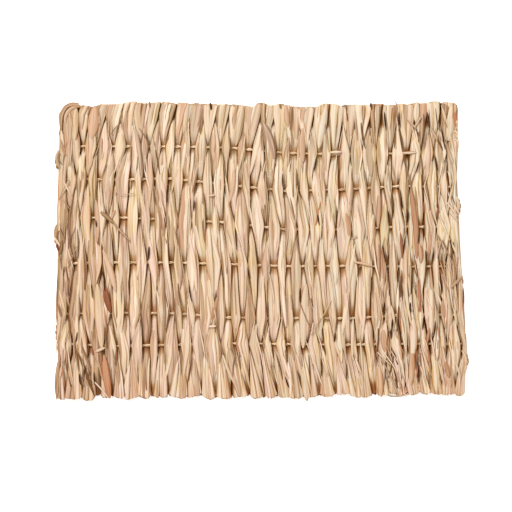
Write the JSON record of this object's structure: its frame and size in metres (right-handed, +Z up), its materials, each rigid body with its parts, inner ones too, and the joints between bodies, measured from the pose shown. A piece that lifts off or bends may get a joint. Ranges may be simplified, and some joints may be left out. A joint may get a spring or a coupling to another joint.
{
  "type": "woven grass pet mat",
  "caption": "Flat rectangular pet mat of dried grass leaf bundles laid side by side and bound by a twisted grass cord woven across them.",
  "frame": {"origin": "middle of the mat's underside, on the surface it rests on", "axes": "+X along the cord's rows, towards the edge with the cord's tails; +Y along the leaf bundles, towards their folded ends; +Z up"},
  "size_m": [0.2936, 0.2094, 0.0053],
  "materials": {
    "dry_leaf": "matte dried leaf with fine lengthwise fibres",
    "twisted_grass": "matte twisted dried grass"
  },
  "bodies": {
    "root": {"woven_strands": "dry_leaf", "weaving_cord": "twisted_grass"}
  },
  "joints": []
}
